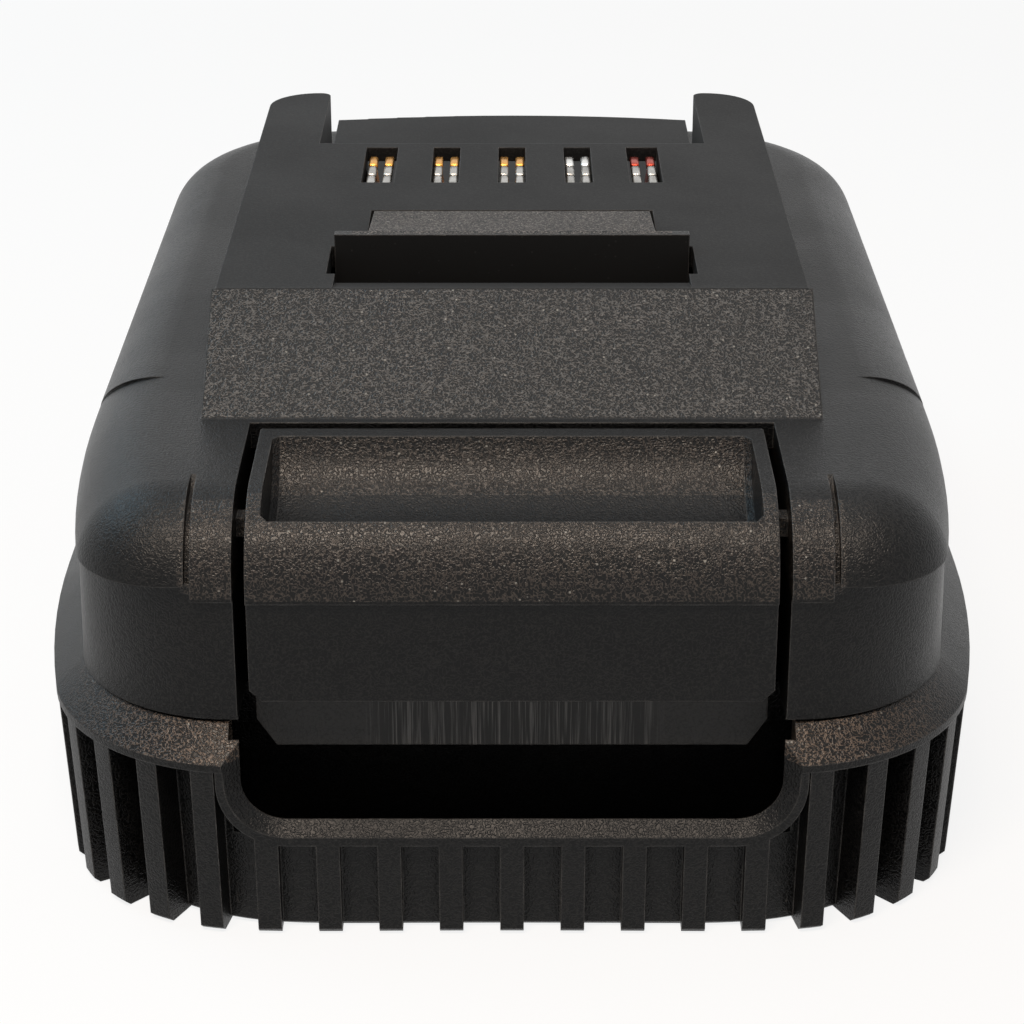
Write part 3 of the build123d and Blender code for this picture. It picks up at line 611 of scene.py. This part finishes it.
# Zones of the latch: the sloping strip with painted highlight, and the upright face with painted shade
latchFinish = {
    **blackPlastic,
    "zones": [
        {
            **coarseGrainHighlightLook,
            "low": (-15.0, -14.0, 45.0),
            "high": (15.0, -1.0, 48.0),
            "ridgeHighlightColour": (0.17, 0.155, 0.145),
            "roughness": 0.6,
        },
        {
            **paintedShadeLook,
            "low": (-19.0, -17.0, 36.0),
            "high": (19.0, -14.05, 47.35),
        },
    ],
}
smoothBlackFinish = {
    **blackPlastic,
    "gloss": 0.4,
    "roughness": 0.33,
    "grainDepth": 0.01,
    "dust": 0.0,
}


def sheetMetal(name, settings):
    # Bare or tinned metal: wiping marks, clouds, worn edges, and zones of another colour
    material, tree, shader = newMaterial(name)
    shader.inputs["Metallic"].default_value = settings["metallic"]
    lines = placeLines(tree, settings)
    edgeMarks = placeGroup(tree, edgeShineAndWear, {"Break Up": settings["edgeBreak"]})
    clouds = noiseNode(tree, objectPoint(tree), settings["cloudScale"], settings["cloudDetail"])
    share = mapRange(tree, clouds, *settings["cloudFade"])
    colour = mixColour(tree, share, settings["colour"], settings["cloudColour"])
    for zone in settings["zones"]:
        colour = mixColour(tree, placeZone(tree, zone), colour, zone["colour"])
    colour = mixColour(tree, edgeMarks["Edge"], colour, settings["edgeColour"])
    tree.links.new(colour, shader.inputs["Base Color"])
    roughness = mapRange(tree, lines, 0.0, 1.0, *settings["roughness"])
    tree.links.new(roughness, shader.inputs["Roughness"])
    bumpNode(tree, shader, lines, settings["lineDepth"], edgeMarks["Normal"])
    return material


plainMetal = {
    "edgeBreak": 0.4,
    "cloudScale": 500.0,
    "cloudDetail": 3.0,
    "cloudFade": (0.4, 0.7),
    "zones": [],
}
tinnedStrip = {
    **plainMetal,
    "metallic": 0.9,
    "colour": (0.46, 0.45, 0.43),
    "cloudColour": (0.3, 0.29, 0.27),
    "edgeColour": (0.6, 0.42, 0.25),
    "stretch": (3000, 40, 3000),
    "cover": 0.52,
    "roughness": (0.26, 0.42),
    "lineDepth": 0.01,
}
zincSteel = {
    **plainMetal,
    "metallic": 1.0,
    "colour": (0.42, 0.42, 0.43),
    "cloudColour": (0.33, 0.33, 0.33),
    "edgeColour": (0.55, 0.55, 0.55),
    "stretch": (900, 900, 2500),
    "cover": 0.5,
    "roughness": (0.3, 0.45),
    "lineDepth": 0.008,
}

# The rearmost finger of each contact has a colour of its own, listed here from left to right; the fourth
# one's white is a painted glint
goldTip = (0.72, 0.36, 0.08)
glintWhiteTip = (0.8, 0.8, 0.78)
redTip = (0.4, 0.05, 0.03)
tipColours = (goldTip, goldTip, goldTip, glintWhiteTip, redTip)
rearFinger = {"low": (-30.0, 15.0, 39.5), "high": (30.0, 18.6, 45.4)}


def boardMaterial(name, settings):
    # Solder mask over traces, with tinned pads
    material, tree, shader = newMaterial(name)
    point = objectPoint(tree)
    cells = voronoiNode(tree, point, settings["traceScale"], "DISTANCE_TO_EDGE")
    trace = mapRange(tree, cells["Distance"], *settings["traceFade"])
    colour = mixColour(tree, trace, settings["maskColour"], settings["traceColour"])
    dots = voronoiNode(tree, point, settings["padScale"])
    pad = mapRange(tree, dots["Distance"], *settings["padFade"])
    clusters = noiseNode(tree, point, settings["clusterScale"])
    picked = mathNode(tree, "GREATER_THAN", clusters, settings["clusterLevel"])
    pad = mathNode(tree, "MULTIPLY", pad, picked)
    colour = mixColour(tree, pad, colour, settings["padColour"])
    tree.links.new(colour, shader.inputs["Base Color"])
    roughness = mapRange(tree, pad, 0.0, 1.0, *settings["roughness"])
    tree.links.new(roughness, shader.inputs["Roughness"])
    tree.links.new(pad, shader.inputs["Metallic"])
    bumpNode(tree, shader, trace, settings["traceDepth"])
    return material


boardFinish = {
    "maskColour": (0.008, 0.035, 0.018),
    "traceColour": (0.016, 0.06, 0.03),
    "padColour": (0.6, 0.56, 0.45),
    "traceScale": 320.0,
    "traceFade": (0.06, 0.035),
    "traceDepth": 0.03,
    "padScale": 600.0,
    "padFade": (0.22, 0.2),
    "clusterScale": 120.0,
    "clusterLevel": 0.56,
    "roughness": (0.32, 0.4),
}


def casedPart(name, settings):
    # Component bodies and insulation: a base tone and a fine grain
    material, tree, shader = newMaterial(name)
    grain = noiseNode(tree, objectPoint(tree), settings["grainScale"])
    share = mapRange(tree, grain, *noiseRange)
    colour = mixColour(tree, share, settings["colour"], settings["grainColour"])
    tree.links.new(colour, shader.inputs["Base Color"])
    roughness = mapRange(tree, grain, *noiseRange, *settings["roughness"])
    tree.links.new(roughness, shader.inputs["Roughness"])
    bumpNode(tree, shader, grain, settings["grainDepth"])
    return material


epoxyFinish = {
    "colour": (0.012, 0.012, 0.013),
    "grainColour": (0.02, 0.02, 0.02),
    "grainScale": 2500.0,
    "roughness": (0.5, 0.62),
    "grainDepth": 0.02,
}
sleeveFinish = {
    **epoxyFinish,
    "colour": (0.012, 0.014, 0.035),
    "grainColour": (0.018, 0.02, 0.05),
    "roughness": (0.22, 0.32),
    "grainScale": 400.0,
}
ceramicFinish = {**epoxyFinish, "colour": (0.02, 0.02, 0.022), "roughness": (0.3, 0.42)}
blackLeadFinish = {**epoxyFinish, "grainScale": 1500.0, "roughness": (0.4, 0.52)}
redLeadFinish = {**blackLeadFinish, "colour": (0.3, 0.008, 0.006), "grainColour": (0.36, 0.014, 0.01)}


def wearMaterial(item, material):
    item.data.materials.clear()
    item.data.materials.append(material)


finishes = {
    "upper_shell": mouldedPlastic("upperShellBlack", upperShellFinish),
    "base_shell": mouldedPlastic("baseShellBlack", baseShellFinish),
    "release_button": mouldedPlastic("releaseButtonBlack", buttonFinish),
    "latch_slider": mouldedPlastic("latchBlack", latchFinish),
    "circuit_board": boardMaterial("circuitBoardGreen", boardFinish),
    "capacitor": casedPart("capacitorSleeve", sleeveFinish),
    "resistors": casedPart("resistorCeramic", ceramicFinish),
    "lead_negative": casedPart("blackInsulation", blackLeadFinish),
    "lead_positive": casedPart("redInsulation", redLeadFinish),
}
smoothBlack = mouldedPlastic("contactBlockBlack", smoothBlackFinish)
epoxyBlack = casedPart("componentEpoxy", epoxyFinish)
steel = sheetMetal("zincSteel", zincSteel)
bladeMetal = sheetMetal("tinnedBlade", tinnedStrip)
for name in ("terminal_carrier", "source_block"):
    finishes[name] = smoothBlack
for name in ("mosfets", "control_chip"):
    finishes[name] = epoxyBlack
for name in ("latch_spring_left", "latch_spring_right", "board_screws", "housing_screws"):
    finishes[name] = steel
for name in nodes:
    if name.startswith("source_blade_"):
        finishes[name] = bladeMetal
for number, tip in enumerate(tipColours, 1):
    tippedStrip = {**tinnedStrip, "zones": [{**rearFinger, "colour": tip}]}
    finishes[f"terminal_clip_{number}"] = sheetMetal(f"clipStrip{number}", tippedStrip)
for name, item in nodes.items():
    wearMaterial(item, finishes[name])
print("materials made:", len(bpy.data.materials))


# New pieces

def addPiece(name, shape, body, material, smoothAngle):
    mesh = bpy.data.meshes.new(name)
    shape.to_mesh(mesh)
    shape.free()
    piece = newObject(name, mesh)
    mesh.materials.append(material)
    mesh.shade_smooth()
    mesh.set_sharp_from_angle(angle=math.radians(smoothAngle))
    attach(piece, body)
    return piece


def roundEdges(shape, edges, rounding, steps):
    bmesh.ops.bevel(
        shape,
        geom=list(edges),
        offset=rounding * mm,
        affect="EDGES",
        segments=steps,
        profile=0.5,
        material=-1,
    )


coilSettings = {
    "footZ": 16.1,
    "topZ": 26.9,
    "travel": 4.0,
    "weldReach": 0.001,
    "smoothAngle": 50,
}


def latchCoil(side):
    # The spring's own mesh, merged and smooth-shaded
    node = f"latch_spring_{side}"
    shape = bmesh.new()
    shape.from_mesh(nodes[node].data)
    bmesh.ops.remove_doubles(shape, verts=shape.verts, dist=coilSettings["weldReach"] * mm)
    coil = addPiece(f"latchCoil_{side}", shape, "housing", steel, coilSettings["smoothAngle"])
    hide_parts(node)
    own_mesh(coil)


for side in ("left", "right"):
    latchCoil(side)
print("springs made")

clipTip = {
    "slotPitch": 6.8,
    "middleSlot": 3,
    "frontY": 8.6,
    "clipLength": 9.4,
    "fingerCount": 3,
    "fingerGap": 0.6,
    "jawX": 0.83,
    "width": 0.92,
    "lowZ": 44.5,
    "highZ": 45.2,
    "rounding": 0.22,
    "roundSteps": 3,
    "smoothAngle": 40,
}


def clipTips(number, settings, material):
    # Bright rounded tips on the two jaws of each finger of one contact
    shape = bmesh.new()
    slotX = (number - settings["middleSlot"]) * settings["slotPitch"]
    gaps = settings["fingerGap"] * (settings["fingerCount"] - 1)
    # A finger's length is kept to a thousandth of a millimetre
    finger = round((settings["clipLength"] - gaps) / settings["fingerCount"], 3)
    height = settings["highZ"] - settings["lowZ"]
    size = Matrix.Diagonal((settings["width"] * mm, finger * mm, height * mm, 1))
    for step in range(settings["fingerCount"]):
        y = settings["frontY"] + finger / 2 + step * (finger + settings["fingerGap"])
        for side in (-1, 1):
            middle = (slotX + side * settings["jawX"], y, settings["lowZ"] + height / 2)
            matrix = Matrix.Translation([value * mm for value in middle]) @ size
            bmesh.ops.create_cube(shape, size=1, matrix=matrix)
    roundEdges(shape, shape.edges, settings["rounding"], settings["roundSteps"])
    addPiece(f"clipTips_{number}", shape, "housing", material, settings["smoothAngle"])


for number in range(1, len(tipColours) + 1):
    clipTips(number, clipTip, finishes[f"terminal_clip_{number}"])
print("contact tips made")

# Shared by both kinds of screw. tipShare and threadRoot are parts of the core's radius,
# threadRise is a part of the pitch, and crest a part of the thread's rise
screwForm = {
    "headSides": 48,
    "roundSteps": 4,
    "lobes": 6,
    "coreSides": 32,
    "coreOverlap": 0.2,
    "tipShare": 0.8,
    "threadRoot": 0.75,
    "threadRise": 0.36,
    "crest": 0.1,
    "bareTip": 0.8,
    "turnSteps": 24,
    "smoothAngle": 35,
}
housingScrew = {
    **screwForm,
    "places": [(x, y) for x in (-32.6, 32.6) for y in (-42.0, 42.0)],
    "headZ": 2.6,
    "headHeight": 2.4,
    "headRadius": 2.8,
    "headRounding": 0.7,
    "driveRadius": 1.15,
    "driveLobe": 0.16,
    "driveDepth": 1.2,
    "shankRadius": 1.4,
    "coreRadius": 1.12,
    "tipZ": 25.9,
    "threadZ": 16.5,
    "pitch": 0.9,
}
boardScrew = {
    **screwForm,
    "places": [(-15.0, 5.4), (15.0, 5.4), (-14.6, 43.0), (14.6, 43.0)],
    "headZ": 32.3,
    "headHeight": 1.5,
    "headRadius": 2.2,
    "headRounding": 0.45,
    "driveRadius": 0.9,
    "driveLobe": 0.12,
    "driveDepth": 0.7,
    "shankRadius": 1.1,
    "coreRadius": 0.88,
    "tipZ": 38.0,
    "threadZ": 34.0,
    "pitch": 0.7,
}


def addCone(shape, sides, lowRadius, highRadius, low, height):
    bmesh.ops.create_cone(
        shape,
        cap_ends=True,
        segments=sides,
        radius1=lowRadius * mm,
        radius2=highRadius * mm,
        depth=height * mm,
        matrix=Matrix.Translation((0, 0, (low + height / 2) * mm)),
    )


def lowestFace(shape):
    return min(shape.faces, key=lambda face: face.calc_center_median().z)


def screwHead(shape, settings):
    # A pan head that hangs under its seat, with a six-lobed drive in its lower face
    radius = settings["headRadius"]
    addCone(shape, settings["headSides"], radius, radius, settings["headZ"], settings["headHeight"])
    roundEdges(shape, lowestFace(shape).edges, settings["headRounding"], settings["roundSteps"])
    floor = lowestFace(shape)
    border = (radius - settings["headRounding"] - settings["driveRadius"]) * mm
    bmesh.ops.inset_region(shape, faces=[floor], thickness=border, use_even_offset=True)
    for vert in floor.verts:
        angle = math.atan2(vert.co.y, vert.co.x)
        wave = settings["driveLobe"] * math.cos(settings["lobes"] * angle)
        reach = (settings["driveRadius"] + wave) * mm
        vert.co.x = reach * math.cos(angle)
        vert.co.y = reach * math.sin(angle)
    pulled = bmesh.ops.extrude_face_region(shape, geom=[floor])["geom"]
    bmesh.ops.delete(shape, geom=[floor], context="FACES_ONLY")
    lifted = [item for item in pulled if isinstance(item, bmesh.types.BMVert)]
    bmesh.ops.translate(shape, verts=lifted, vec=(0, 0, settings["driveDepth"] * mm))


def screwShank(shape, settings):
    # A core from the head to the tip, and a thread along its upper part
    core = settings["coreRadius"]
    low = settings["headZ"] + settings["headHeight"] - settings["coreOverlap"]
    height = settings["tipZ"] - low
    addCone(shape, settings["coreSides"], core, core * settings["tipShare"], low, height)
    inner = core * settings["threadRoot"] * mm
    outer = settings["shankRadius"] * mm
    pitch = settings["pitch"]
    start = settings["threadZ"] * mm
    rise = pitch * settings["threadRise"] * mm
    profile = [
        shape.verts.new((inner, 0, start)),
        shape.verts.new((outer, 0, start + rise * (1 - settings["crest"]))),
        shape.verts.new((outer, 0, start + rise * (1 + settings["crest"]))),
        shape.verts.new((inner, 0, start + rise * 2)),
    ]
    face = shape.faces.new(profile)
    turns = (settings["tipZ"] - settings["bareTip"] - settings["threadZ"]) / pitch
    steps = int(turns * settings["turnSteps"])
    bmesh.ops.spin(
        shape,
        geom=[face, *face.edges, *profile],
        axis=(0, 0, 1),
        cent=(0, 0, 0),
        dvec=(0, 0, turns * pitch / steps * mm),
        angle=turns * 2 * math.pi,
        steps=steps,
        use_merge=False,
    )


def screwSet(name, settings, node):
    shape = bmesh.new()
    for x, y in settings["places"]:
        one = bmesh.new()
        screwHead(one, settings)
        screwShank(one, settings)
        bmesh.ops.recalc_face_normals(one, faces=one.faces)
        bmesh.ops.translate(one, verts=one.verts, vec=(x * mm, y * mm, 0))
        mesh = bpy.data.meshes.new("screwDraft")
        one.to_mesh(mesh)
        one.free()
        shape.from_mesh(mesh)
        bpy.data.meshes.remove(mesh)
    piece = addPiece(name, shape, "housing", steel, settings["smoothAngle"])
    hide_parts(node)


screwSet("housingScrewSet", housingScrew, "housing_screws")
screwSet("boardScrewSet", boardScrew, "board_screws")
print("screws made")

scene = bpy.context.scene
scene.view_settings.view_transform = "Standard"
